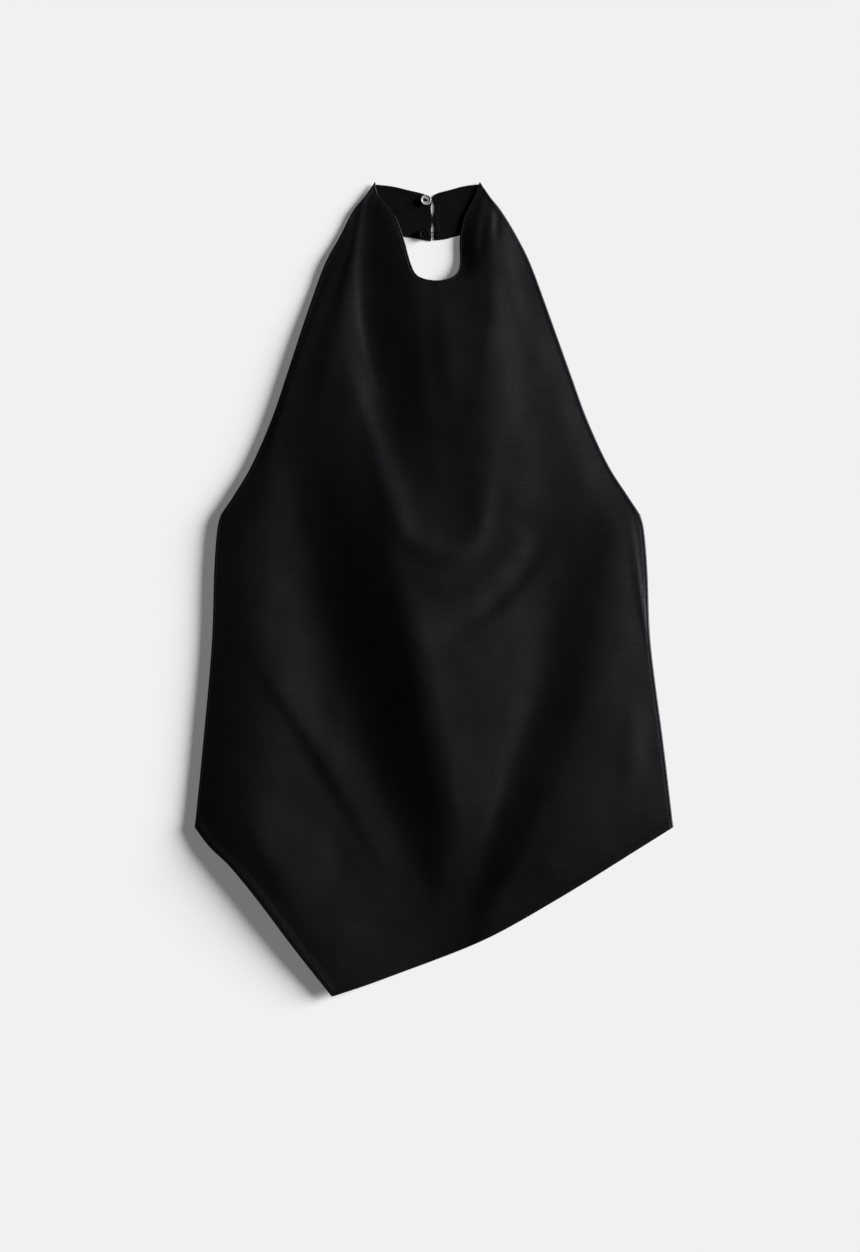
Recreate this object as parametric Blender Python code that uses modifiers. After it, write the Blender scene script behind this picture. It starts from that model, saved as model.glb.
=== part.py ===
"""A halter neck top in black satin, laid flat with its front up.

Metres, +Z up. +Y runs from the hem to the neck and +X towards the right of
someone who looks down at the front. The origin is under the middle of the
laid-out top, on the surface that it lies on.
"""
import math

import bpy
import numpy as np

# ---------------------------------------------------------------- cloth walls
CLOTH = 0.0010              # wall of one layer of satin
BAND = 0.0012               # the collar band, satin on an interlining
GAP = 0.0003                # between pieces that touch

# ------------------------------------------------------------ front's outline
# One row for each section across the top: height up the body, left and right edge.
SIDE_SECTIONS = [
    # y,      left,    right
    (-0.2330, -0.2337, 0.2338),     # hem corners, where the side seams end
    (-0.2240, -0.2338, 0.2330),
    (-0.1530, -0.2258, 0.2244),
    (-0.0550, -0.2172, 0.2119),
    (0.0190, -0.2147, 0.2085),
    (0.0580, -0.2118, 0.2052),
    (0.0725, -0.2082, 0.2015),      # underarm
]
ARMHOLE_SECTIONS = [
    (0.0725, -0.2082, 0.2015),      # underarm
    (0.0920, -0.1950, 0.1884),
    (0.1215, -0.1778, 0.1698),
    (0.1660, -0.1586, 0.1494),
    (0.2100, -0.1436, 0.1334),
    (0.2685, -0.1244, 0.1124),
    (0.3165, -0.1072, 0.0946),
    (0.3459, -0.0914, 0.0800),
    (0.3695, -0.0794, 0.0656),
    (0.3840, -0.0676, 0.0541),
    (0.3980, -0.0580, 0.0447),      # peaks, where the neck folds to the back
]
# The front hem falls to a point left of the middle: x, y along each leg.
HEM_LEFT_LEG = [(-0.2337, -0.2330), (-0.2205, -0.2510), (-0.1720, -0.3040), (-0.1366, -0.3510),
                (-0.0998, -0.3980)]
HEM_RIGHT_LEG = [(-0.0998, -0.3980), (-0.0462, -0.3798), (0.0445, -0.3450), (0.1194, -0.3038),
                 (0.1955, -0.2568), (0.2338, -0.2330)]
# The neckline: down the left edge, round the bowl under the throat, up the right edge.
NECKLINE = [(-0.0580, 0.3980), (-0.0555, 0.3860), (-0.0440, 0.3710), (-0.0370, 0.3621),
            (-0.0291, 0.3389), (-0.0237, 0.3193), (-0.0175, 0.3068), (-0.0052, 0.3018),
            (0.0090, 0.3018), (0.0205, 0.3068), (0.0252, 0.3165), (0.0254, 0.3434),
            (0.0297, 0.3648), (0.0394, 0.3835), (0.0447, 0.3980)]
LEFT_LEG_STEPS = 12         # cells of the front's grid along each boundary
RIGHT_LEG_STEPS = 22
SIDE_STEPS = 19
ARMHOLE_STEPS = 25

# --------------------------------------------------------------- front's form
# Height of the cloth over what lies under it, along eight lines that run down the
# front. One row for each section; a column pair is the line's x and its height.
MM = 0.001
RELIEF_SECTIONS = [
    # Millimetres. y, then x and height of each line that runs down the front:
    # left roll, left valley, main crest, hollow,
    # throat, right crest, right valley, right roll
    (-400, (-112, 3.0), (-92, 3.4), (-80, 3.0), (-70, 2.8),
     (-60, 2.6), (-50, 2.5), (-40, 2.4), (-30, 2.4)),
    (-344, (-126, 5.2), (-20, 2.2), (-4, 2.0), (6, 2.1),
     (14, 2.2), (22, 2.4), (30, 2.8), (50, 5.2)),
    (-305, (-146, 6.8), (-8, 1.6), (8, 2.4), (14, 2.5),
     (20, 2.6), (28, 2.6), (36, 3.0), (66, 7.6)),
    (-266, (-164, 8.2), (-26, 0.9), (14, 5.2), (20, 5.0),
     (28, 4.6), (36, 4.0), (46, 3.8), (87, 9.6)),
    (-226, (-174, 7.8), (-42, 0.7), (20, 9.0), (28, 8.4),
     (38, 7.0), (48, 5.6), (60, 4.0), (105, 9.4)),
    (-187, (-168, 7.0), (-60, 0.8), (13, 11.6), (27, 10.3),
     (42, 8.4), (58, 6.1), (75, 3.7), (124, 8.4)),
    (-148, (-160, 6.0), (-76, 0.9), (6, 13.4), (22, 11.9),
     (42, 9.5), (64, 6.6), (88, 3.3), (139, 7.2)),
    (-109, (-158, 5.2), (-90, 1.0), (-3, 14.8), (16, 13.1),
     (44, 10.2), (72, 6.8), (102, 3.0), (149, 6.4)),
    (-70, (-162, 4.4), (-102, 1.0), (-12, 15.8), (8, 14.0),
     (40, 11.0), (74, 7.2), (112, 2.8), (157, 5.6)),
    (-30, (-166, 3.8), (-115, 1.2), (-22, 16.4), (0, 14.6),
     (34, 11.6), (72, 7.8), (120, 2.6), (163, 5.0)),
    (9, (-165, 3.0), (-126, 1.5), (-32, 16.4), (-10, 14.9),
     (26, 12.4), (64, 9.0), (128, 3.0), (166, 4.4)),
    (48, (-165, 2.5), (-132, 1.8), (-42, 15.6), (-16, 14.5),
     (14, 13.9), (44, 12.2), (134, 3.8), (167, 3.7)),
    (87, (-162, 2.2), (-140, 1.8), (-52, 13.8), (-22, 12.6),
     (10, 13.0), (38, 13.2), (126, 5.4), (156, 3.1)),
    (136, (-158, 2.0), (-148, 1.8), (-62, 10.6), (-42, 9.6),
     (4, 12.6), (40, 13.2), (112, 5.8), (138, 3.1)),
    (185, (-144, 1.4), (-136, 1.4), (-77, 6.9), (-58, 5.5),
     (0, 11.8), (42, 12.4), (100, 5.4), (122, 2.8)),
    (239, (-126, 1.0), (-120, 1.0), (-90, 3.3), (-68, 1.7),
     (-8, 10.0), (48, 10.6), (88, 4.8), (106, 2.3)),
    (278, (-110, 0.8), (-104, 0.8), (-88, 2.2), (-68, 0.9),
     (-10, 8.0), (52, 7.8), (76, 4.3), (92, 1.9)),
    (337, (-88, 0.4), (-82, 0.4), (-78, 1.2), (-66, 0.5),
     (-26, 4.4), (50, 4.6), (66, 3.2), (76, 1.6)),
    (372, (-80, 0.4), (-75, 0.4), (-72, 1.0), (-66, 0.4),
     (-44, 2.2), (46, 2.6), (56, 1.6), (62, 0.8)),
    (400, (-70, 0.4), (-64, 0.4), (-60, 0.5), (-56, 0.4),
     (0, 1.0), (40, 1.4), (48, 0.8), (56, 0.4)),
]
RELIEF_EDGE_X = 0.2400      # below the side seams the outer lines run straight down
HEM_LIFT_LEFT = 0.90        # how much of the folds' height is left at the hem's edge
HEM_LIFT_RIGHT = 0.60
NECK_LIFT = 0.12            # and at the right of the neckline
NECK_REACH = 0.022
LEFT_LIFT = 0.0050          # the left side stands off the surface on its seam
# The largest curved folds. One row for each: its path, its height and how far it
# spreads to the right and to the left of that path.
FOLDS = [
    # Millimetres. name, path, height, spread to its right and to its left
    ("neck ridge", [(-73, 330), (-74, 260), (-67, 190), (-52, 118), (-40, 84)], 0.3, 14, 16),
    ("main edge", [(-62, 150), (-47, 91), (-34, 17), (-18, -58), (-7, -137), (12, -256)],
     1.7, 16, 60),
    ("upper swag", [(-66, 176), (-52, 120), (-41, 84), (-27, 52), (0, 34), (22, 33),
                    (38, 45), (46, 72), (50, 108), (58, 150)], 2.1, 13, 17),
    ("middle swag", [(-32, 30), (-24, 20), (4, 5), (32, 4), (60, 15), (80, 35), (93, 62)],
     1.4, 12, 15),
    ("lower swag", [(-12, -58), (32, -36), (64, -8), (94, 25), (118, 67)], -1.7, 12, 15),
    ("hip ridge", [(-190, -42), (-146, -109), (-114, -158), (-87, -202), (-63, -246),
                   (-34, -290)], 1.8, 12, 22),
    ("hem ridge", [(-186, -212), (-159, -270), (-137, -310), (-114, -349)], 1.0, 12, 18),
]

# ------------------------------------------------------------- back and collar
BACK_TOP_Y = 0.0640         # low back, level with the underarms
BACK_HEM_Y = -0.2310
BACK_INSET = 0.0006         # the back's side edges lie just inside the front's
BACK_LIFT_REACH = 0.030     # how far in from the left seam the back stands off the surface
BACK_ROWS = 10
BACK_COLUMNS = (0.0, 0.012, 0.024, 0.036, 0.048, 0.060, 0.075, 0.20, 0.50, 0.80, 1.0)
COLLAR_LEFT = [(-0.0034, 0.3410), (-0.0160, 0.3432), (-0.0310, 0.3460), (-0.0560, 0.3520),
               (-0.0800, 0.3600), (-0.0760, 0.3690), (-0.0660, 0.3830), (-0.0590, 0.3905),
               (-0.0586, 0.3960), (-0.0560, 0.3972), (-0.0410, 0.3940), (-0.0260, 0.3905),
               (-0.0115, 0.3870), (-0.0030, 0.3834), (-0.0028, 0.3800), (-0.0034, 0.3760),
               (-0.0034, 0.3700), (-0.0024, 0.3650), (-0.0021, 0.3615), (-0.0024, 0.3580),
               (-0.0032, 0.3530), (-0.0030, 0.3470)]
COLLAR_RIGHT = [(0.0440, 0.3972), (0.0446, 0.3960), (0.0452, 0.3905), (0.0525, 0.3830),
                (0.0630, 0.3690), (0.0720, 0.3560), (0.0520, 0.3520), (0.0254, 0.3468),
                (0.0110, 0.3431), (0.0010, 0.3420), (-0.0004, 0.3440), (-0.0002, 0.3530),
                (-0.0014, 0.3580), (-0.0018, 0.3615), (-0.0014, 0.3650), (-0.0001, 0.3700),
                (-0.0002, 0.3760), (-0.0016, 0.3800), (-0.0018, 0.3836), (0.0031, 0.3872),
                (0.0165, 0.3909), (0.0300, 0.3944)]

# --------------------------------------------------------------------- buttons
BUTTON_RADIUS = 0.0052
BUTTON_THICK = 0.0020
BUTTON_DISH = 0.0005        # depth of the dish inside the rim
BUTTON_RIM = 0.0010         # width of the rim
BUTTON_HOLE = 0.0008        # radius of each thread hole
BUTTON_HOLE_APART = 0.0026
BUTTON_TOP_AT = (-0.0081, 0.3808)
BUTTON_BOTTOM_AT = (-0.0094, 0.3474)
BUTTON_TURN = math.radians(-35)     # slant of the two holes
STEM_RADIUS = 0.0011        # thread stem under the button
LOOP_RADIUS = 0.0004        # the loop's thread
LOOP_END_X = 0.0060         # where the loops are sewn to the right half
LOOP_ROOM = STEM_RADIUS + GAP + 1.1 * LOOP_RADIUS       # the loop's middle line round the stem

# ------------------------------------------------------------------- materials
MATERIALS = {
    # name: colour, roughness, metallic
    "satin": ((0.010, 0.010, 0.011), 0.42, 0.0),
    "pale_button": ((0.42, 0.42, 0.41), 0.35, 0.0),
    "black_button": ((0.012, 0.012, 0.013), 0.40, 0.0),
    "thread": ((0.010, 0.010, 0.010), 0.60, 0.0),
}


def make_material(name):
    """A Principled material in the named colour and gloss."""
    colour, roughness, metallic = MATERIALS[name]
    material = bpy.data.materials.new(name)
    material.use_nodes = True
    shader = material.node_tree.nodes["Principled BSDF"]
    shader.inputs["Base Color"].default_value = (*colour, 1.0)
    shader.inputs["Roughness"].default_value = roughness
    shader.inputs["Metallic"].default_value = metallic
    return material


def smoothstep(value, start, end):
    """0 before start, 1 past end, and an even rise between them."""
    share = np.clip((value - start) / (end - start), 0.0, 1.0)
    return share * share * (3.0 - 2.0 * share)


def curve_points(knots, steps):
    """Evenly spaced points on a smooth curve (Catmull-Rom) through the knots."""
    knots = np.array(knots, float)
    ends = [2 * knots[0] - knots[1]], [2 * knots[-1] - knots[-2]]
    padded = np.concatenate([ends[0], knots, ends[1]])
    share = np.linspace(0.0, 1.0, 24, endpoint=False)[:, None]
    dense = []
    for before, start, end, after in zip(padded, padded[1:], padded[2:], padded[3:]):
        linear = end - before
        square = 2 * before - 5 * start + 4 * end - after
        cube = 3 * start - before - 3 * end + after
        dense.append(start + 0.5 * (linear * share + square * share**2 + cube * share**3))
    dense = np.concatenate(dense + [knots[-1:]])
    run = np.concatenate([[0.0], np.cumsum(np.linalg.norm(np.diff(dense, axis=0), axis=1))])
    stations = np.linspace(0.0, run[-1], steps + 1)
    return np.stack([np.interp(stations, run, dense[:, axis]) for axis in (0, 1)], axis=1)


def join_runs(first, second):
    """Two runs of points that share an end, as one."""
    return np.concatenate([first, second[1:]])


def side_edge(column, side_steps=SIDE_STEPS, armhole_steps=ARMHOLE_STEPS):
    """The front's left (column 1) or right (column 2) edge, hem corner to neck peak."""
    side = [(row[column], row[0]) for row in SIDE_SECTIONS]
    armhole = [(row[column], row[0]) for row in ARMHOLE_SECTIONS]
    return join_runs(curve_points(side, side_steps), curve_points(armhole, armhole_steps))


def front_grid():
    """Points (row, column, xy) that spread evenly between the front's four edges."""
    left, right = side_edge(1), side_edge(2)
    hem = join_runs(curve_points(HEM_LEFT_LEG, LEFT_LEG_STEPS),
                    curve_points(HEM_RIGHT_LEG, RIGHT_LEG_STEPS))
    neck = curve_points(NECKLINE, LEFT_LEG_STEPS + RIGHT_LEG_STEPS)
    across = np.linspace(0.0, 1.0, len(hem))[None, :, None]
    up = np.linspace(0.0, 1.0, len(left))[:, None, None]
    between_sides = (1 - across) * left[:, None] + across * right[:, None]
    between_ends = (1 - up) * hem[None] + up * neck[None]
    corners = ((1 - up) * ((1 - across) * hem[0] + across * hem[-1])
               + up * ((1 - across) * neck[0] + across * neck[-1]))
    return between_sides + between_ends - corners


def flowing(knots, values, at):
    """Smooth values between knots, level at each crest and valley (monotone cubic)."""
    widths = np.diff(knots, axis=0)
    slopes = np.diff(values, axis=0) / widths
    tangents = np.zeros_like(values)
    same_way = slopes[:-1] * slopes[1:] > 0
    total = np.where(same_way, slopes[:-1] + slopes[1:], 1.0)
    tangents[1:-1] = np.where(same_way, 2 * slopes[:-1] * slopes[1:] / total, 0.0)
    tangents[0], tangents[-1] = slopes[0], slopes[-1]
    cell = np.clip(np.sum(at[None] >= knots, axis=0) - 1, 0, len(knots) - 2)[None]
    low, high = (np.take_along_axis(values, cell + step, 0)[0] for step in (0, 1))
    start, end = (np.take_along_axis(tangents, cell + step, 0)[0] for step in (0, 1))
    width = np.take_along_axis(widths, cell, 0)[0]
    share = np.clip((at - np.take_along_axis(knots, cell, 0)[0]) / width, 0.0, 1.0)
    return ((1 + 2 * share) * (1 - share)**2 * low + share * (1 - share)**2 * width * start
            + share**2 * (3 - 2 * share) * high + share**2 * (share - 1) * width * end)


def read_column(rows, y, pick):
    """One column of a section table, flowing from row to row, at each y."""
    knots = np.array([float(row[0]) for row in rows])[:, None] + np.zeros((1, len(y)))
    values = np.array([float(pick(row)) for row in rows])[:, None] + np.zeros((1, len(y)))
    return flowing(knots, values, np.clip(y, rows[0][0], rows[-1][0]))


def draped_height(x, y):
    """Height over what lies under the front, from the relief's eight lines."""
    outline = SIDE_SECTIONS + ARMHOLE_SECTIONS[1:]
    below = smoothstep(-y, -SIDE_SECTIONS[0][0], -SIDE_SECTIONS[0][0] + 0.05)
    left = read_column(outline, y, lambda row: row[1]) * (1 - below) - RELIEF_EDGE_X * below
    right = read_column(outline, y, lambda row: row[2]) * (1 - below) + RELIEF_EDGE_X * below
    knots, values = [left], [np.zeros_like(y)]
    for line in range(1, len(RELIEF_SECTIONS[0])):
        knots.append(MM * read_column(RELIEF_SECTIONS, y / MM, lambda row: row[line][0]))
        values.append(MM * read_column(RELIEF_SECTIONS, y / MM, lambda row: row[line][1]))
    knots, values = np.array(knots + [right]), np.array(values + [np.zeros_like(y)])
    return flowing(knots, values, np.clip(x, left, right))


def fold_height(x, y, path, height, right_spread, left_spread):
    """One curved fold: a ridge along its path that fades out at both ends."""
    line = curve_points(path, 60)
    tangent = np.gradient(line, axis=0)
    away = np.stack([x, y], axis=1)[:, None] - line[None]
    nearest = np.argmin(np.sum(away**2, axis=2), axis=1)
    offset = away[np.arange(len(x)), nearest]
    along = tangent[nearest] / np.linalg.norm(tangent[nearest], axis=1, keepdims=True)
    aside = along[:, 0] * offset[:, 1] - along[:, 1] * offset[:, 0]
    spread = np.where(aside > 0, left_spread, right_spread)
    reach = np.sum(offset**2, axis=1) / spread**2
    return height * np.sin(math.pi * nearest / 60) * np.exp(-reach)


def hem_place(x, y):
    """Distance to the hem's nearest point, and how far along the hem that point is."""
    hem = join_runs(curve_points(HEM_LEFT_LEG, 60), curve_points(HEM_RIGHT_LEG, 120))
    run = np.concatenate([[0.0], np.cumsum(np.linalg.norm(np.diff(hem, axis=0), axis=1))])
    away = np.hypot(x[:, None] - hem[None, :, 0], y[:, None] - hem[None, :, 1])
    return np.min(away, axis=1), run[np.argmin(away, axis=1)]


def left_lift(y):
    """How far the left edge stands up, less and less towards the neck."""
    return LEFT_LIFT * (1.0 - smoothstep(y, 0.220, 0.390))


def left_distance(x, y):
    """Distance to the nearest point of the left side, from the neck to the hem's point."""
    edge = join_runs(curve_points(HEM_LEFT_LEG[::-1], 60), side_edge(1, 60, 80))
    return np.min(np.hypot(x[:, None] - edge[None, :, 0], y[:, None] - edge[None, :, 1]), axis=1)


def neck_settle(x, y):
    """How much of the folds' height is left: less beside the right of the neckline."""
    line = np.array(curve_points(NECKLINE, 90))
    away = np.min(np.hypot(x[:, None] - line[None, :, 0], y[:, None] - line[None, :, 1]), axis=1)
    beside = smoothstep(x, 0.004, 0.024) * smoothstep(y, 0.296, 0.328)
    beside = beside * (1.0 - smoothstep(away, 0.0, NECK_REACH))
    return 1.0 - (1.0 - NECK_LIFT) * beside


def support_height(y):
    """Height of the layers under the front: the back panel, the surface or the collar."""
    over_back = smoothstep(y, BACK_HEM_Y - 0.070, BACK_HEM_Y - 0.020)
    past_back = smoothstep(y, BACK_TOP_Y + 0.025, BACK_TOP_Y + 0.075)
    over_collar = smoothstep(y, 0.290, 0.325)
    return (CLOTH + GAP) * over_back * (1 - past_back) + (BAND + GAP) * over_collar


def front_underside(x, y):
    """Height of the front's underside above the surface."""
    relief = draped_height(x, y)
    for _name, path, height, right_spread, left_spread in FOLDS:
        relief = relief + MM * fold_height(x / MM, y / MM, path, height, right_spread,
                                           left_spread)
    from_hem, run = hem_place(x, y)
    lifted = HEM_LIFT_LEFT + (HEM_LIFT_RIGHT - HEM_LIFT_LEFT) * smoothstep(run, 0.17, 0.30)
    settle = lifted + (1 - lifted) * smoothstep(from_hem, 0.0, 0.045)
    settle = settle * neck_settle(x, y)
    lift = left_lift(y) * (1.0 - smoothstep(left_distance(x, y), 0.015, 0.120))
    return support_height(y) + np.maximum(relief * settle, 0.0) + lift


def thicken(item, wall):
    """Give an open sheet its wall, upwards from the sheet."""
    solidify = item.modifiers.new("Wall", "SOLIDIFY")
    solidify.thickness = wall
    solidify.offset = 1.0
    return item


def add_object(name, mesh, material):
    """A named object in the garment's collection."""
    mesh.materials.append(material)
    item = bpy.data.objects.new(name, mesh)
    garment.objects.link(item)
    return item


def make_sheet(name, plan, heights):
    """A sheet of cloth through a grid of points at the given heights, with its wall."""
    rows, columns = plan.shape[:2]
    points = [(x, y, z) for (x, y), z in zip(plan.reshape(-1, 2).tolist(), heights.tolist())]
    faces = []
    for row in range(rows - 1):
        for column in range(columns - 1):
            corner = row * columns + column
            faces.append((corner, corner + 1, corner + columns + 1, corner + columns))
    mesh = bpy.data.meshes.new(name)
    mesh.from_pydata(points, [], faces)
    mesh.shade_smooth()
    return thicken(add_object(name, mesh, materials["satin"]), CLOTH)


def make_front():
    """The front: a grid between its edges, lifted by its folds."""
    plan = front_grid()
    return make_sheet("front_panel", plan, front_underside(plan[..., 0].ravel(),
                                                           plan[..., 1].ravel()))


def make_flat_piece(name, outline, wall):
    """A flat piece on the surface: its outline as one face, with a wall."""
    mesh = bpy.data.meshes.new(name)
    mesh.from_pydata([(x, y, 0.0) for x, y in outline], [], [tuple(range(len(outline)))])
    if mesh.polygons[0].normal.z < 0:
        mesh.flip_normals()
    return thicken(add_object(name, mesh, materials["satin"]), wall)


def make_back():
    """The low back: underarm to underarm, down to the ends of the side seams."""
    levels = np.linspace(BACK_HEM_Y, BACK_TOP_Y, BACK_ROWS + 1)
    left = read_column(SIDE_SECTIONS, levels, lambda row: row[1]) + BACK_INSET
    right = read_column(SIDE_SECTIONS, levels, lambda row: row[2]) - BACK_INSET
    shares = np.array(BACK_COLUMNS)[None]
    x = left[:, None] * (1 - shares) + right[:, None] * shares
    y = levels[:, None] + np.zeros_like(x)
    lift = left_lift(y) * (1.0 - smoothstep(x - left[:, None], 0.0, BACK_LIFT_REACH))
    return make_sheet("back_panel", np.stack([x, y], axis=2), lift.ravel())


def turned_button(name, material):
    """A round button with a rim, on its thread stem, turned about its own axis."""
    stem_foot = BAND + GAP
    underside = stem_foot + 2 * LOOP_RADIUS + 2 * GAP
    top = underside + BUTTON_THICK
    edge = 0.0003
    profile = [(0.0, top - BUTTON_DISH),
               (BUTTON_RADIUS - BUTTON_RIM - edge, top - BUTTON_DISH),
               (BUTTON_RADIUS - BUTTON_RIM, top - edge),
               (BUTTON_RADIUS - BUTTON_RIM + edge, top),
               (BUTTON_RADIUS - edge, top),
               (BUTTON_RADIUS, top - edge),
               (BUTTON_RADIUS, underside + edge),
               (BUTTON_RADIUS - edge, underside),
               (STEM_RADIUS, underside),
               (STEM_RADIUS, stem_foot),
               (0.0, stem_foot)]
    mesh = bpy.data.meshes.new(name)
    mesh.from_pydata([(r, 0.0, z) for r, z in profile],
                     [(step, step + 1) for step in range(len(profile) - 1)], [])
    item = add_object(name, mesh, material)
    screw = item.modifiers.new("Turn", "SCREW")
    screw.axis = "Z"
    screw.steps = 28
    screw.render_steps = 28
    screw.use_merge_vertices = True
    screw.merge_threshold = 0.00001
    return item, underside, top


def make_button(name, at, material):
    """A button with its two thread holes drilled down to its underside."""
    item, underside, top = turned_button(name, material)
    for side in (-1, 1):
        bpy.ops.mesh.primitive_cylinder_add(vertices=12, radius=BUTTON_HOLE,
                                            depth=top - underside - 0.0004)
        drill = bpy.context.object
        drill.name = f"{name}_drill_{side + 1}"
        for collection in list(drill.users_collection):
            collection.objects.unlink(drill)
        cutters.objects.link(drill)
        drill.parent = item
        reach = side * BUTTON_HOLE_APART / 2
        drill.location = (reach * math.cos(BUTTON_TURN), reach * math.sin(BUTTON_TURN),
                          (top + underside + 0.0004) / 2)
        drill.hide_render = True
        drill.display_type = "WIRE"
        cut = item.modifiers.new("Hole", "BOOLEAN")
        cut.operation = "DIFFERENCE"
        cut.solver = "EXACT"
        cut.object = drill
    item.location = (at[0], at[1], 0.0)
    return item


def make_loop(name, at):
    """A thread loop: from the right half, round a button's stem and back."""
    level = BAND + GAP + LOOP_RADIUS
    points = [(LOOP_END_X, at[1] + LOOP_ROOM)]
    for step in range(9):
        angle = math.radians(90 + 180 * step / 8)
        points.append((at[0] + LOOP_ROOM * math.cos(angle), at[1] + LOOP_ROOM * math.sin(angle)))
    points.append((LOOP_END_X, at[1] - LOOP_ROOM))
    curve = bpy.data.curves.new(name, "CURVE")
    curve.dimensions = "3D"
    curve.bevel_depth = LOOP_RADIUS
    curve.bevel_resolution = 2
    curve.use_fill_caps = True
    spline = curve.splines.new("POLY")
    spline.points.add(len(points) - 1)
    for point, (x, y) in zip(spline.points, points):
        point.co = (x, y, level, 1.0)
    return add_object(name, curve, materials["thread"])


for old in list(bpy.data.objects):
    bpy.data.objects.remove(old, do_unlink=True)

garment = bpy.data.collections.new("halter_neck_top")
cutters = bpy.data.collections.new("cutters")
bpy.context.scene.collection.children.link(garment)
bpy.context.scene.collection.children.link(cutters)
materials = {name: make_material(name) for name in MATERIALS}

make_front()
make_back()
make_flat_piece("collar_left", COLLAR_LEFT, BAND)
make_flat_piece("collar_right", COLLAR_RIGHT, BAND)
make_button("button_top", BUTTON_TOP_AT, materials["pale_button"])
make_button("button_bottom", BUTTON_BOTTOM_AT, materials["black_button"])
make_loop("loop_top", BUTTON_TOP_AT)
make_loop("loop_bottom", BUTTON_BOTTOM_AT)
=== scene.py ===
# %% [markdown]
# # A halter neck top in black satin, laid flat
# The top lies on its back with its front up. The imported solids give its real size: the front
# panel's true folds, the low back, the two halves of the collar band, two buttons and two
# thread loops. This lesson puts finished cloth, stitches and buttons in their place.

# %% Load the frame
import math

import bpy
import numpy as np
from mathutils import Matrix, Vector


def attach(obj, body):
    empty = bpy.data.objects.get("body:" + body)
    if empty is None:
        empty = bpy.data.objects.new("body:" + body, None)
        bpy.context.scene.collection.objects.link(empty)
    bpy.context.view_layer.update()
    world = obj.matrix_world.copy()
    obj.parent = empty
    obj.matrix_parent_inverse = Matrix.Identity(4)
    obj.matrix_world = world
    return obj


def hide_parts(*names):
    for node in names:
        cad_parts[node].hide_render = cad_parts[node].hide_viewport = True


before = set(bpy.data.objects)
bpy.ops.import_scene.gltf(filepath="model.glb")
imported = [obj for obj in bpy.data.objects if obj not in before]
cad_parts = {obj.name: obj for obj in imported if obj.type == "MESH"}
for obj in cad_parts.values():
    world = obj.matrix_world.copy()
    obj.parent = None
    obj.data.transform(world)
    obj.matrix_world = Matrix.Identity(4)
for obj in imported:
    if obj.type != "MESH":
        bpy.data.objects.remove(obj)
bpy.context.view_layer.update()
print("solids:", sorted(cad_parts))

# %% [markdown]
# ## Camera
# The top is seen from straight above, so the camera looks down -Z from high up with a long
# lens. The aim sits a little left of the middle and below it, as the framing has it.

# %% Camera
VIEW_HEIGHT = 1.2270            # length of the surface that the frame covers
VIEW_AIM = (-0.0041, -0.0363)   # point of the surface in the middle of the frame
LENS = 85.0
SENSOR_LONG_SIDE = 36.0

camera_data = bpy.data.cameras.new("camera")
camera_data.lens = LENS
camera_data.sensor_width = SENSOR_LONG_SIDE
camera_data.sensor_fit = "AUTO"
camera = bpy.data.objects.new("camera", camera_data)
camera.location = (*VIEW_AIM, VIEW_HEIGHT * LENS / SENSOR_LONG_SIDE)
bpy.context.scene.collection.objects.link(camera)
bpy.context.scene.camera = camera
print("camera height:", round(camera.location.z, 3))

# %% Shared tools
def set_inputs(made, **inputs):
    """Set a node's inputs, or link them from sockets, by name with _ for each space."""
    for name, value in inputs.items():
        slot_in = made.inputs[name.replace("_", " ")]
        if isinstance(value, bpy.types.NodeSocket):
            made.id_data.links.new(value, slot_in)
        else:
            slot_in.default_value = value
    return made


def new_node(tree, kind, **inputs):
    """A new node of a tree, with its inputs set."""
    return set_inputs(tree.nodes.new(kind), **inputs)


def mesh_object(name, points, faces, material):
    """A smooth object in one material, in the scene."""
    mesh = bpy.data.meshes.new(name)
    mesh.from_pydata(points, [], faces)
    mesh.shade_smooth()
    mesh.materials.append(material)
    made = bpy.data.objects.new(name, mesh)
    bpy.context.scene.collection.objects.link(made)
    return made


# %% [markdown]
# ## Surface and light
# A pale matt surface, one broad soft light low on the right, and a weak even fill. The low
# light is what draws the folds: black satin shows its form only by what it reflects. The
# surface glows a little, so that its shadows stay pale. The pale studio past the surface's
# edge is seen by the camera only, and lights the cloth no more than the weak fill does.

# %% Surface
SURFACE_SIZE = 6.0
SURFACE_DROP = 0.0003           # keeps the surface just under the cloth
SURFACE_GREY = 0.70
SURFACE_GLOW = 0.16

floor_mesh = bpy.data.meshes.new("surface")
half = SURFACE_SIZE / 2
floor_mesh.from_pydata([(-half, -half, -SURFACE_DROP), (half, -half, -SURFACE_DROP),
                        (half, half, -SURFACE_DROP), (-half, half, -SURFACE_DROP)],
                       [], [(0, 1, 2, 3)])
surface = bpy.data.objects.new("surface", floor_mesh)
bpy.context.scene.collection.objects.link(surface)
paper = bpy.data.materials.new("pale_surface")
paper.use_nodes = True
set_inputs(paper.node_tree.nodes["Principled BSDF"], Base_Color=(*[SURFACE_GREY] * 3, 1.0),
           Emission_Color=(1.0, 1.0, 1.0, 1.0), Emission_Strength=SURFACE_GLOW, Roughness=0.9,
           Specular_IOR_Level=0.0)
floor_mesh.materials.append(paper)

# %% Light
KEY_ELEVATION = math.radians(20)    # low, so that the folds throw soft shade
KEY_AZIMUTH = math.radians(15)      # from the right, a little towards the neck
KEY_SOFTNESS = math.radians(27)
KEY_STRENGTH = 9.3
FILL_STRENGTH = 0.015
BACKDROP_STRENGTH = 0.88            # how pale the studio looks past the surface's edge

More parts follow.
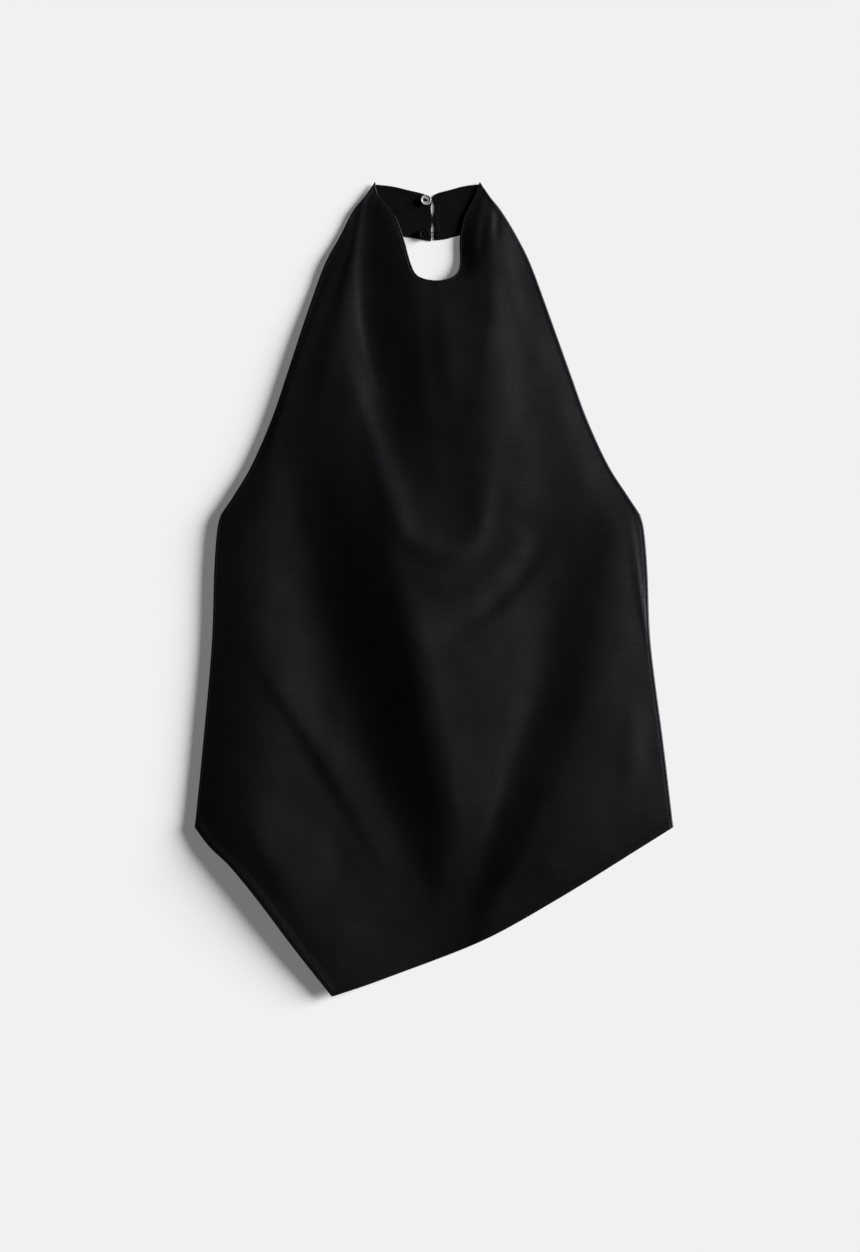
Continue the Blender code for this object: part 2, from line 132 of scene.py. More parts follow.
key_data = bpy.data.lights.new("key", "SUN")
key_data.angle = KEY_SOFTNESS
key_data.energy = KEY_STRENGTH
key = bpy.data.objects.new("key", key_data)
toward_key = Vector((math.cos(KEY_ELEVATION) * math.cos(KEY_AZIMUTH),
                     math.cos(KEY_ELEVATION) * math.sin(KEY_AZIMUTH),
                     math.sin(KEY_ELEVATION)))
key.rotation_euler = toward_key.to_track_quat("Z", "Y").to_euler()
bpy.context.scene.collection.objects.link(key)

world = bpy.data.worlds.new("studio")
world.use_nodes = True
studio = world.node_tree
by_camera = new_node(studio, "ShaderNodeLightPath").outputs["Is Camera Ray"]
seen_or_lit = new_node(studio, "ShaderNodeMapRange", Value=by_camera, To_Min=FILL_STRENGTH,
                       To_Max=BACKDROP_STRENGTH)
set_inputs(studio.nodes["Background"], Color=(1.0, 1.0, 1.0, 1.0),
           Strength=seen_or_lit.outputs["Result"])
bpy.context.scene.world = world
bpy.context.scene.view_settings.view_transform = "Standard"
print("key light comes from", [round(part, 2) for part in toward_key])

# %% [markdown]
# ## Satin and the other materials
# Black satin is nearly black under its gloss. Its long floats lie crosswise, so the gloss is
# broken by faint crosswise streaks and a fine mottle. The reverse is the dull side of the same
# cloth, and it shows inside the collar. A painted-on gloss would be tied to one light;
# roughness and bump from procedural noise keep it true from every side.


# %% Material tools
NOISE_LOW, NOISE_HIGH = 0.3, 0.7    # nearly all of a noise's values lie between these


def new_material(name, colour, roughness, gloss):
    """A Principled material in a plain colour, with its tree and shader."""
    material = bpy.data.materials.new(name)
    material.use_nodes = True
    shader = material.node_tree.nodes["Principled BSDF"]
    set_inputs(shader, Base_Color=(*colour, 1.0), Roughness=roughness, Specular_IOR_Level=gloss)
    return material, material.node_tree, shader


def object_noise(tree, scale, stretch, detail):
    """Noise on Object coordinates, stretched by a scale for each axis."""
    own_place = new_node(tree, "ShaderNodeTexCoord").outputs["Object"]
    mapping = new_node(tree, "ShaderNodeMapping", Vector=own_place, Scale=stretch)
    return new_node(tree, "ShaderNodeTexNoise", Vector=mapping.outputs["Vector"], Scale=scale,
                    Detail=detail).outputs["Fac"]


def ranged(tree, value, low, high):
    """Spread a noise's usual values over low to high."""
    return new_node(tree, "ShaderNodeMapRange", Value=value, From_Min=NOISE_LOW,
                    From_Max=NOISE_HIGH, To_Min=low, To_Max=high).outputs["Result"]


def added(tree, first, second):
    """The sum of two values."""
    total = tree.nodes.new("ShaderNodeMath")
    total.operation = "ADD"
    tree.links.new(first, total.inputs[0])
    tree.links.new(second, total.inputs[1])
    return total.outputs["Value"]


def cloud_colours(tree, shader, dark, light, scale):
    """Let the base colour drift slowly between two close colours."""
    mix = tree.nodes.new("ShaderNodeMix")
    mix.data_type = "RGBA"
    set_inputs(mix, A=(*dark, 1.0), B=(*light, 1.0),
               Factor=object_noise(tree, scale, (1.0, 1.6, 1.0), 3.0))
    set_inputs(shader, Base_Color=mix.outputs["Result"])


def bumped(tree, shader, heights, strength, distance):
    """Tilt the shading by the given heights."""
    bump = new_node(tree, "ShaderNodeBump", Strength=strength, Distance=distance,
                    Height=heights)
    set_inputs(shader, Normal=bump.outputs["Normal"])


# %% Satin
SATIN_DARK = (0.0013, 0.0013, 0.0014)
SATIN_LIGHT = (0.0022, 0.0022, 0.0024)
SATIN_GLOSS = 0.33
SATIN_TINT = (0.89, 0.88, 1.0)
SATIN_ROUGHNESS = (0.375, 0.400)    # between one streak and the next
ROUGHNESS_DRIFT = 0.025             # and how much it grows over a slow cloud
STREAK_SCALE = (45.0, 620.0, 45.0)  # long floats across, close together up the cloth
MOTTLE_SCALE, CLOUD_SCALE, COLOUR_SCALE = 330.0, 14.0, 9.0
STREAK_SHARE = 0.35                 # the streaks' part of the bump; the mottle has the rest
WEAVE_STRENGTH = 0.42
WEAVE_DEPTH = 0.00012


def make_satin(name):
    """The glossy right side: slow cloud, crosswise streaks and a fine mottle."""
    material, tree, shader = new_material(name, SATIN_DARK, 0.4, SATIN_GLOSS)
    set_inputs(shader, Specular_Tint=(*SATIN_TINT, 1.0))
    cloud_colours(tree, shader, SATIN_DARK, SATIN_LIGHT, COLOUR_SCALE)
    streaks = object_noise(tree, 1.0, STREAK_SCALE, 2.0)
    mottle = object_noise(tree, MOTTLE_SCALE, (0.8, 1.0, 1.0), 3.0)
    cloud = object_noise(tree, CLOUD_SCALE, (1.0, 1.0, 1.0), 2.0)
    gloss = added(tree, ranged(tree, streaks, *SATIN_ROUGHNESS),
                  ranged(tree, cloud, 0.0, ROUGHNESS_DRIFT))
    set_inputs(shader, Roughness=gloss)
    heights = added(tree, ranged(tree, streaks, 0.0, STREAK_SHARE),
                    ranged(tree, mottle, 0.0, 1.0 - STREAK_SHARE))
    bumped(tree, shader, heights, WEAVE_STRENGTH, WEAVE_DEPTH)
    return material


satin = make_satin("black_satin")

# %% Reverse, thread and buttons
reverse, tree, shader = new_material("satin_reverse", (0.0016, 0.0016, 0.0017), 0.55, 0.09)
cloud_colours(tree, shader, (0.0012, 0.0012, 0.0013), (0.0024, 0.0024, 0.0025), 40.0)
bumped(tree, shader, object_noise(tree, 420.0, (1.0, 0.5, 1.0), 3.0), 0.3, 0.0001)

thread, tree, shader = new_material("black_thread", (0.0020, 0.0020, 0.0022), 0.65, 0.08)
bumped(tree, shader, object_noise(tree, 2600.0, (1.0, 1.0, 1.0), 1.0), 0.3, 0.00004)

pale_button, tree, shader = new_material("pale_button", (0.29, 0.29, 0.28), 0.30, 0.5)
cloud_colours(tree, shader, (0.26, 0.26, 0.25), (0.32, 0.32, 0.31), 260.0)
set_inputs(shader, Coat_Weight=0.2, Coat_Roughness=0.15)

black_button, tree, shader = new_material("black_button", (0.002, 0.002, 0.002), 0.5, 0.08)
cloud_colours(tree, shader, (0.0015, 0.0015, 0.0016), (0.003, 0.003, 0.003), 260.0)
print("materials:", [item.name for item in bpy.data.materials])

# %% [markdown]
# ## The front's outline and grid
# A maker cuts the front as one piece. Its edges are short tables of sections, and a grid is
# spread evenly between them, closer near the edges, where the hems are.

# %% Outline tables
SIDE_SECTIONS = [
    # y,      left,    right
    (-0.2330, -0.2337, 0.2338),
    (-0.1530, -0.2258, 0.2244),
    (-0.0550, -0.2172, 0.2119),
    (0.0190, -0.2147, 0.2085),
    (0.0580, -0.2118, 0.2052),
    (0.0725, -0.2082, 0.2015),
]
ARMHOLE_SECTIONS = [
    (0.0725, -0.2082, 0.2015),
    (0.0920, -0.1950, 0.1884),
    (0.1215, -0.1778, 0.1698),
    (0.1660, -0.1586, 0.1494),
    (0.2100, -0.1436, 0.1334),
    (0.2685, -0.1244, 0.1124),
    (0.3165, -0.1072, 0.0946),
    (0.3459, -0.0914, 0.0800),
    (0.3695, -0.0794, 0.0656),
    (0.3840, -0.0676, 0.0541),
    (0.3980, -0.0580, 0.0447),
]
HEM_LEFT_LEG = [(-0.2337, -0.2330), (-0.2190, -0.2518), (-0.1985, -0.2713), (-0.1718, -0.3040),
                (-0.1366, -0.3510), (-0.0998, -0.3980)]
HEM_RIGHT_LEG = [(-0.0998, -0.3980), (-0.0462, -0.3798), (0.0445, -0.3450), (0.1194, -0.3038),
                 (0.1955, -0.2568), (0.2338, -0.2330)]
NECKLINE = [(-0.0580, 0.3980), (-0.0555, 0.3860), (-0.0440, 0.3710), (-0.0370, 0.3621),
            (-0.0291, 0.3389), (-0.0237, 0.3193), (-0.0175, 0.3068), (-0.0052, 0.3018),
            (0.0090, 0.3018), (0.0205, 0.3068), (0.0252, 0.3165), (0.0254, 0.3434),
            (0.0297, 0.3648), (0.0394, 0.3835), (0.0447, 0.3980)]


# %% Curves and grids
CURVE_STEPS = 24                # short steps that a curve takes from knot to knot


def smoothstep(value, start, end):
    """0 before start, 1 past end, and an even rise between them."""
    share = np.clip((value - start) / (end - start), 0.0, 1.0)
    return share * share * (3.0 - 2.0 * share)


def curve_at(knots, shares):
    """Points at shares 0 to 1 of the length of a smooth curve through the knots."""
    knots = np.array(knots, float)
    ends = [2 * knots[0] - knots[1]], [2 * knots[-1] - knots[-2]]
    padded = np.concatenate([ends[0], knots, ends[1]])
    step = np.linspace(0.0, 1.0, CURVE_STEPS, endpoint=False)[:, None]
    dense = []
    for before, start, end, after in zip(padded, padded[1:], padded[2:], padded[3:]):
        linear = end - before
        square = 2 * before - 5 * start + 4 * end - after
        cube = 3 * start - before - 3 * end + after
        dense.append(start + 0.5 * (linear * step + square * step**2 + cube * step**3))
    dense = np.concatenate(dense + [knots[-1:]])
    run = np.concatenate([[0.0], np.cumsum(np.linalg.norm(np.diff(dense, axis=0), axis=1))])
    stations = np.asarray(shares) * run[-1]
    return np.stack([np.interp(stations, run, dense[:, axis])
                     for axis in range(knots.shape[1])], axis=1)


def directions(line):
    """The unit tangent at each point of a line."""
    tangent = np.gradient(line, axis=0)
    return tangent / np.linalg.norm(tangent, axis=1, keepdims=True)


def two_run_curve(first, second, joint, shares):
    """One edge made of two smooth runs that meet in a corner at the joint's share."""
    shares = np.asarray(shares)
    before = curve_at(first, np.clip(shares / joint, 0.0, 1.0))
    after = curve_at(second, np.clip((shares - joint) / (1 - joint), 0.0, 1.0))
    return np.where(shares[:, None] <= joint, before, after)


def knots_of(table, column):
    """The (x, y) knots of one side, from a table of sections."""
    return [(row[column], row[0]) for row in table]


def spread_between(bottom, top, left, right, across, up):
    """A grid of points (row, column, xy) that spreads evenly between four edges."""
    across, up = across[None, :, None], up[:, None, None]
    sides = (1 - across) * left[:, None] + across * right[:, None]
    ends = (1 - up) * bottom[None] + up * top[None]
    corners = ((1 - up) * ((1 - across) * bottom[0] + across * bottom[-1])
               + up * ((1 - across) * top[0] + across * top[-1]))
    return sides + ends - corners


EDGE_LINES = np.array([0.0, 0.5, 1.0, 1.6, 2.2, 2.8, 3.5, 4.2, 4.8, 5.3, 5.8, 6.4, 7.2, 8.5,
                       10.5]) * 0.001


def shares_with_edges(length, cells, joint=None):
    """Shares 0 to 1 with close lines by both ends, and with the joint on a line."""
    near = EDGE_LINES / length
    inner = np.linspace(near[-1], 1 - near[-1], cells + 1)[1:-1]
    shares = np.concatenate([near, inner, 1 - near[::-1]])
    if joint is not None:
        shares[np.argmin(np.abs(shares - joint))] = joint
    return shares


HEM_POINT_SHARE = 12 / 34       # where the hem's point falls along the hem
UNDERARM_SHARE = 19 / 44        # where the underarm falls up the side
FRONT_CELLS_ACROSS = 120
FRONT_CELLS_UP = 150
MEAN_WIDTH, MEAN_LENGTH = 0.44, 0.70    # of the front, which place the lines by its edges

across = shares_with_edges(MEAN_WIDTH, FRONT_CELLS_ACROSS, HEM_POINT_SHARE)
up = shares_with_edges(MEAN_LENGTH, FRONT_CELLS_UP, UNDERARM_SHARE)
hem_edge = two_run_curve(HEM_LEFT_LEG, HEM_RIGHT_LEG, HEM_POINT_SHARE, across)
neck_edge = curve_at(NECKLINE, across)
side_edges = [two_run_curve(knots_of(SIDE_SECTIONS, column), knots_of(ARMHOLE_SECTIONS, column),
                            UNDERARM_SHARE, up) for column in (1, 2)]
front_grid = spread_between(hem_edge, neck_edge, side_edges[0], side_edges[1], across, up)
print("front grid:", front_grid.shape)

# %% [markdown]
# ## The front's folds
# The cloth hangs from both sides of the neck, and laid down it keeps that drape: a long
# crest from the left of the neck to the hem, a valley on either side, and swags between.

# %% Fold tables
MM = 0.001
RELIEF_SECTIONS = [
    # Millimetres. y, then x and height of each line that runs down the front:
    # left roll, left valley, main crest, hollow,
    # throat, right crest, right valley, right roll
    (-400, (-112, 3.0), (-92, 3.4), (-80, 3.0), (-70, 2.8),
     (-60, 2.6), (-50, 2.5), (-40, 2.4), (-30, 2.4)),
    (-344, (-126, 5.2), (-20, 2.2), (-4, 2.0), (6, 2.1),
     (14, 2.2), (22, 2.4), (30, 2.8), (50, 5.2)),
    (-305, (-146, 6.8), (-8, 1.6), (8, 2.4), (14, 2.5),
     (20, 2.6), (28, 2.6), (36, 3.0), (66, 7.6)),
    (-266, (-164, 8.2), (-26, 0.9), (14, 5.2), (20, 5.0),
     (28, 4.6), (36, 4.0), (46, 3.8), (87, 9.6)),
    (-226, (-174, 7.8), (-42, 0.7), (20, 9.0), (28, 8.4),
     (38, 7.0), (48, 5.6), (60, 4.0), (105, 9.4)),
    (-187, (-168, 7.0), (-60, 0.8), (13, 11.6), (27, 10.3),
     (42, 8.4), (58, 6.1), (75, 3.7), (124, 8.4)),
    (-148, (-160, 6.0), (-76, 0.9), (6, 13.4), (22, 11.9),
     (42, 9.5), (64, 6.6), (88, 3.3), (139, 7.2)),
    (-109, (-158, 5.2), (-90, 1.0), (-3, 14.8), (16, 13.1),
     (44, 10.2), (72, 6.8), (102, 3.0), (149, 6.4)),
    (-70, (-162, 4.4), (-102, 1.0), (-12, 15.8), (8, 14.0),
     (40, 11.0), (74, 7.2), (112, 2.8), (157, 5.6)),
    (-30, (-166, 3.8), (-115, 1.2), (-22, 16.4), (0, 14.6),
     (34, 11.6), (72, 7.8), (120, 2.6), (163, 5.0)),
    (9, (-165, 3.0), (-126, 1.5), (-32, 16.4), (-10, 14.9),
     (26, 12.4), (64, 9.0), (128, 3.0), (166, 4.4)),
    (48, (-165, 2.5), (-132, 1.8), (-42, 15.6), (-16, 14.5),
     (14, 13.9), (44, 12.2), (134, 3.8), (167, 3.7)),
    (87, (-162, 2.2), (-140, 1.8), (-52, 13.8), (-22, 12.6),
     (10, 13.0), (38, 13.2), (126, 5.4), (156, 3.1)),
    (136, (-158, 2.0), (-148, 1.8), (-62, 10.6), (-42, 9.6),
     (4, 12.6), (40, 13.2), (112, 5.8), (138, 3.1)),
    (185, (-144, 1.4), (-136, 1.4), (-77, 6.9), (-58, 5.5),
     (0, 11.8), (42, 12.4), (100, 5.4), (122, 2.8)),
    (239, (-126, 1.0), (-120, 1.0), (-90, 3.3), (-68, 1.7),
     (-8, 10.0), (48, 10.6), (88, 4.8), (106, 2.3)),
    (278, (-110, 0.8), (-104, 0.8), (-88, 2.2), (-68, 0.9),
     (-10, 8.0), (52, 7.8), (76, 4.3), (92, 1.9)),
    (337, (-88, 0.4), (-82, 0.4), (-78, 1.2), (-66, 0.5),
     (-26, 4.4), (50, 4.6), (66, 3.2), (76, 1.6)),
    (372, (-80, 0.4), (-75, 0.4), (-72, 1.0), (-66, 0.4),
     (-44, 2.2), (46, 2.6), (56, 1.6), (62, 0.8)),
    (400, (-70, 0.4), (-64, 0.4), (-60, 0.5), (-56, 0.4),
     (0, 1.0), (40, 1.4), (48, 0.8), (56, 0.4)),
]
RELIEF_EDGE_X = 0.2400          # below the side seams, the relief ends at this x
BELOW_SEAMS = 0.05              # and passes over to it in this length
FOLDS = [
    # Millimetres. name, path, height, spread to its right and to its left
    ("neck ridge", [(-73, 330), (-74, 260), (-67, 190), (-52, 118), (-40, 84)], 0.3, 12, 16),
    ("main edge", [(-62, 150), (-47, 91), (-34, 17), (-18, -58), (-7, -137), (12, -256)],
     1.7, 14, 60),
    ("upper swag", [(-66, 176), (-52, 120), (-41, 84), (-27, 52), (0, 34), (22, 33),
                    (38, 45), (46, 72), (50, 108), (58, 150)], 2.1, 11, 16),
    ("middle swag", [(-32, 30), (-24, 20), (4, 5), (32, 4), (60, 15), (80, 35), (93, 62)],
     1.4, 10, 13),
    ("lower swag", [(-12, -58), (32, -36), (64, -8), (94, 25), (118, 67)], -1.7, 9, 13),
    ("left neck pleat", [(-69, 396), (-71, 362), (-72, 325), (-71, 285), (-66, 245),
                         (-56, 205), (-44, 168)], -0.8, 5, 13),
    ("throat ridge", [(2, 300), (8, 262), (14, 220), (20, 170)], 0.9, 10, 13),
    ("right neck roll", [(43, 398), (36, 380), (30, 356), (28, 322)], 1.2, 5, 6),
    ("right neck pleat", [(54, 392), (50, 367), (46, 340), (42, 315)], -1.2, 4, 5),
    ("right outer pleat", [(60, 380), (61, 360), (60, 340)], -0.8, 3, 4),
    ("hip ridge", [(-190, -42), (-146, -109), (-114, -158), (-87, -202), (-63, -246),
                   (-34, -290)], 1.8, 8, 22),
    ("hem ridge", [(-186, -212), (-159, -270), (-137, -310), (-114, -349)], 1.0, 8, 18),
    ("left leg flare", [(-238, -222), (-206, -266), (-172, -304), (-137, -350), (-98, -402)],
     2.2, 20, 20),
    ("hip ridge foot", [(-92, -226), (-70, -266), (-52, -292), (-28, -322)], 1.2, 14, 26),
    ("right hip fold", [(198, -100), (193, -150), (186, -220)], 0.5, 10, 14),
    ("seam pull", [(186, 84), (192, 60), (202, -11), (208, -48), (211, -70)], 0.6, 2.5, 3.5),
    ("hem wave", [(96, -262), (118, -278), (132, -296)], 0.6, 9, 12),
    ("left strap fold", [(-122, 150), (-108, 200), (-96, 250)], 0.5, 7, 10),
]
RIPPLES = [
    # wavelength and direction of each slow ripple, and its height in millimetres
    (0.087, 24.0, 0.16),
    (0.061, -37.0, 0.12),
    (0.043, 71.0, 0.07),
    (0.029, -8.0, 0.035),
]


# %% Height of the folds
def flowing(knots, values, at):
    """Smooth values between knots, level at each crest and valley (monotone cubic)."""
    widths = np.diff(knots, axis=0)
    slopes = np.diff(values, axis=0) / widths
    tangents = np.zeros_like(values)
    same_way = slopes[:-1] * slopes[1:] > 0
    total = np.where(same_way, slopes[:-1] + slopes[1:], 1.0)
    tangents[1:-1] = np.where(same_way, 2 * slopes[:-1] * slopes[1:] / total, 0.0)
    tangents[0], tangents[-1] = slopes[0], slopes[-1]
    cell = np.clip(np.sum(at[None] >= knots, axis=0) - 1, 0, len(knots) - 2)[None]
    low, high = (np.take_along_axis(values, cell + step, 0)[0] for step in (0, 1))
    start, end = (np.take_along_axis(tangents, cell + step, 0)[0] for step in (0, 1))
    width = np.take_along_axis(widths, cell, 0)[0]
    share = np.clip((at - np.take_along_axis(knots, cell, 0)[0]) / width, 0.0, 1.0)
    return ((1 + 2 * share) * (1 - share)**2 * low + share * (1 - share)**2 * width * start
            + share**2 * (3 - 2 * share) * high + share**2 * (share - 1) * width * end)


def read_column(rows, y, pick):
    """One column of a section table, flowing from row to row, at each y."""
    knots = np.array([float(row[0]) for row in rows])[:, None] + np.zeros((1, len(y)))
    values = np.array([float(pick(row)) for row in rows])[:, None] + np.zeros((1, len(y)))
    return flowing(knots, values, np.clip(y, rows[0][0], rows[-1][0]))


def draped_height(x, y):
    """Height over what lies under the front, from the relief's eight lines."""
    outline = SIDE_SECTIONS + ARMHOLE_SECTIONS[1:]
    below = smoothstep(-y, -SIDE_SECTIONS[0][0], -SIDE_SECTIONS[0][0] + BELOW_SEAMS)
    left = read_column(outline, y, lambda row: row[1]) * (1 - below) - RELIEF_EDGE_X * below
    right = read_column(outline, y, lambda row: row[2]) * (1 - below) + RELIEF_EDGE_X * below
    knots, values = [left], [np.zeros_like(y)]
    for line in range(1, len(RELIEF_SECTIONS[0])):
        knots.append(MM * read_column(RELIEF_SECTIONS, y / MM, lambda row: row[line][0]))
        values.append(MM * read_column(RELIEF_SECTIONS, y / MM, lambda row: row[line][1]))
    knots, values = np.array(knots + [right]), np.array(values + [np.zeros_like(y)])
    return flowing(knots, values, np.clip(x, left, right))


FOLD_STEPS = 60


def fold_height(x, y, path, height, right_spread, left_spread):
    """One curved fold: a ridge along its path that fades out at both ends."""
    line = curve_at(path, np.linspace(0.0, 1.0, FOLD_STEPS + 1))
    away_x, away_y = x[:, None] - line[None, :, 0], y[:, None] - line[None, :, 1]
    nearest = np.argmin(away_x**2 + away_y**2, axis=1)
    rows = np.arange(len(x))
    off_x, off_y = away_x[rows, nearest], away_y[rows, nearest]
    along = directions(line)[nearest]
    aside = along[:, 0] * off_y - along[:, 1] * off_x
    spread = np.where(aside > 0, left_spread, right_spread)
    fade = np.sin(math.pi * nearest / FOLD_STEPS)
    return height * fade * np.exp(-(off_x**2 + off_y**2) / spread**2)


def nearest_on(line, x, y):
    """Distance from each point to a polyline, and how far along the nearest place is."""
    start, step = line[:-1], np.diff(line, axis=0)
    length = np.linalg.norm(step, axis=1)
    run = np.concatenate([[0.0], np.cumsum(length)])[:-1]
    off_x, off_y = x[:, None] - start[None, :, 0], y[:, None] - start[None, :, 1]
    share = np.clip((off_x * step[:, 0] + off_y * step[:, 1]) / length**2, 0.0, 1.0)
    reach = np.hypot(off_x - share * step[:, 0], off_y - share * step[:, 1])
    nearest = np.argmin(reach, axis=1)
    rows = np.arange(len(x))
    return reach[rows, nearest], run[nearest] + share[rows, nearest] * length[nearest]


EDGE_SAMPLES = np.linspace(0.0, 1.0, 181)
EDGES = {
    "hem": two_run_curve(HEM_LEFT_LEG, HEM_RIGHT_LEG, HEM_POINT_SHARE, EDGE_SAMPLES),
    "neckline": curve_at(NECKLINE, EDGE_SAMPLES),
    "left leg": curve_at(HEM_LEFT_LEG, EDGE_SAMPLES),
}
for number, hand in enumerate(("left", "right"), start=1):
    EDGES[f"{hand} seam"] = curve_at(knots_of(SIDE_SECTIONS, number), EDGE_SAMPLES)
    EDGES[f"{hand} armhole"] = curve_at(knots_of(ARMHOLE_SECTIONS, number), EDGE_SAMPLES)
EDGE_ROLLS = [
    # edge, how high it rolls up inside the edge, over what width, in millimetres
    ("left seam", 0.3, 2.5),
    ("right seam", 0.5, 1.6),
    ("left armhole", 0.3, 2.0),
    ("right armhole", 0.15, 1.6),
    ("neckline", 0.2, 2.0),
]


def roll_height(x, y):
    """The small roll of the cloth just inside its sewn edges."""
    height = np.zeros_like(x)
    for edge, lift, width in EDGE_ROLLS:
        reach, _run = nearest_on(EDGES[edge], x, y)
        height = height + lift * MM * (1.0 - np.exp(-reach / (width * MM)))
    return height - np.min(height)


def ripple_height(x, y):
    """Slow uneven ripples, so that no broad area is quite even."""
    height = np.zeros_like(x)
    for number, (length, direction, swell) in enumerate(RIPPLES):
        turn = math.radians(direction)
        along = x * math.cos(turn) + y * math.sin(turn)
        aside = y * math.cos(turn) - x * math.sin(turn)
        phase = 1.7 * number + 1.1 * np.sin(2 * math.pi * aside / (2.3 * length))
        height = height + swell * MM * np.sin(2 * math.pi * along / length + phase)
    return height


BACK_TOP_Y, BACK_HEM_Y = 0.0640, -0.2310
BACK_LAYER, COLLAR_LAYER = 0.0013, 0.0015
# Where the front climbs on to each layer and leaves it, going up the top.
BACK_HEM_SLOPE = (BACK_HEM_Y - 0.070, BACK_HEM_Y - 0.020)
BACK_TOP_SLOPE = (BACK_TOP_Y + 0.025, BACK_TOP_Y + 0.075)
COLLAR_SLOPE = (0.290, 0.325)


def support_height(y):
    """Height of the layers under the front: the back panel, the surface or the collar."""
    over_back = smoothstep(y, *BACK_HEM_SLOPE)
    past_back = smoothstep(y, *BACK_TOP_SLOPE)
    over_collar = smoothstep(y, *COLLAR_SLOPE)
    return BACK_LAYER * over_back * (1 - past_back) + COLLAR_LAYER * over_collar


HEM_LIFT_LEFT = 0.90            # how much of the folds' height is left at the hem's edge
HEM_LIFT_RIGHT = 0.60
HEM_TURN = (0.17, 0.30)         # the run along the hem in which one passes to the other
HEM_REACH = 0.045               # and how far in from the hem they are felt
NECK_LIFT = 0.12                # and at the right of the neckline
NECK_REACH = 0.022
NECK_SIDE, NECK_FOOT = (0.004, 0.024), (0.296, 0.328)   # where that begins, in x and in y
LEFT_LIFT = 0.0050              # the left side stands off the surface on its seam
LEFT_FADE = (0.220, 0.390)      # up to here along the seam and armhole
LEFT_REACH = (0.015, 0.120)     # and this far in from them
RIPPLE_LEVEL, RIPPLE_REACH = 0.0004, 0.030
LEFT_EDGES = ("left seam", "left armhole", "left leg")


def left_lift(y):
    """How far the left edge stands up, less and less towards the neck."""
    return LEFT_LIFT * (1.0 - smoothstep(y, *LEFT_FADE))


def neck_settle(x, y):
    """How much of the folds' height is left: less beside the right of the neckline."""
    away = nearest_on(EDGES["neckline"], x, y)[0]
    beside = smoothstep(x, *NECK_SIDE) * smoothstep(y, *NECK_FOOT)
    beside = beside * (1.0 - smoothstep(away, 0.0, NECK_REACH))
    return 1.0 - (1.0 - NECK_LIFT) * beside


def front_underside(x, y):
    """Height of the front's underside above the surface."""
    relief = draped_height(x, y)
    for _name, path, height, right_spread, left_spread in FOLDS:
        relief = relief + MM * fold_height(x / MM, y / MM, path, height, right_spread,
                                           left_spread)
    from_hem, run = nearest_on(EDGES["hem"], x, y)
    lifted = HEM_LIFT_LEFT + (HEM_LIFT_RIGHT - HEM_LIFT_LEFT) * smoothstep(run, *HEM_TURN)
    settle = lifted + (1 - lifted) * smoothstep(from_hem, 0.0, HEM_REACH)
    settle = settle * neck_settle(x, y)
    inside = np.minimum.reduce([nearest_on(line, x, y)[0] for line in EDGES.values()])
    from_left = np.minimum.reduce([nearest_on(EDGES[edge], x, y)[0] for edge in LEFT_EDGES])
    lift = left_lift(y) * (1.0 - smoothstep(from_left, *LEFT_REACH))
    ripples = (ripple_height(x, y) + RIPPLE_LEVEL) * smoothstep(inside, 0.0, RIPPLE_REACH)
    folds = np.maximum(relief * settle, 0.0)
    return support_height(y) + folds + lift + ripples + roll_height(x, y)


# %% Cloth with two faces
def cloth_piece(name, plan, under, wall, material):
    """A closed sheet: upper face, lower face and a rounded rim, from a grid."""
    rows, columns = plan.shape[:2]
    x, y = plan[..., 0], plan[..., 1]
    upper = np.stack([x, y, under + wall], axis=2).reshape(-1, 3)
    lower = np.stack([x, y, under], axis=2).reshape(-1, 3)
    ring = ([(0, c) for c in range(columns)] + [(r, columns - 1) for r in range(1, rows)]
            + [(rows - 1, c) for c in range(columns - 2, -1, -1)]
            + [(r, 0) for r in range(rows - 2, 0, -1)])
    ring_index = np.array([r * columns + c for r, c in ring])
    rim = (upper[ring_index] + lower[ring_index]) / 2
    tangent = np.roll(rim, -1, axis=0) - np.roll(rim, 1, axis=0)
    outward = np.stack([tangent[:, 1], -tangent[:, 0]], axis=1)
    outward /= np.maximum(np.linalg.norm(outward, axis=1, keepdims=True), 1e-9)
    rim[:, :2] += outward * (wall.reshape(-1)[ring_index, None] / 2)
    points = np.concatenate([upper, lower, rim])
    count, first = rows * columns, 2 * rows * columns
    faces = []
    for r in range(rows - 1):
        for c in range(columns - 1):
            a = r * columns + c
            b, d, e = a + 1, a + columns, a + columns + 1
            faces.append((a, b, e, d))
            faces.append((count + a, count + d, count + e, count + b))
    for step, a in enumerate(ring_index.tolist()):
        after = (step + 1) % len(ring_index)
        b = int(ring_index[after])
        faces.append((a, first + step, first + after, b))
        faces.append((count + a, count + b, first + after, first + step))
    return mesh_object(name, points.tolist(), faces, material)


# %% [markdown]
# ## Sewn edges
# The hem is a narrow double turning held by one row of stitches. The armholes are turned
# narrower, and the neckline has a rolled edge with close rows inside it. Each turning is a
# thicker wall near the edge, with a groove where the stitches pull the cloth down.

# %% Edge builds
FRONT_WALL, THINNEST_WALL = 0.0006, 0.0003
EDGE_BUILDS = [
    # edge, width of the turning, wall it adds, its stitch grooves, in millimetres
    ("hem", 6.6, 0.54, (5.4,)),
    ("left armhole", 3.2, 0.35, (2.5,)),
    ("right armhole", 3.2, 0.35, (2.5,)),
    ("neckline", 5.6, 0.18, (1.7, 3.3, 4.9)),
    ("left seam", 2.6, 0.20, (2.2,)),
    ("right seam", 2.6, 0.15, (2.2,)),
]
GROOVE_DEPTH, GROOVE_WIDTH = 0.28, 0.60
TURNING_STEP = 0.6              # half the width of the step down from a turning
PUCKERS = [(6.7, 0.045), (10.9, 0.055), (17.3, 0.05)]   # length and height, millimetres
PUCKER_SPREAD = 9.0             # square of how far they reach from the stitches


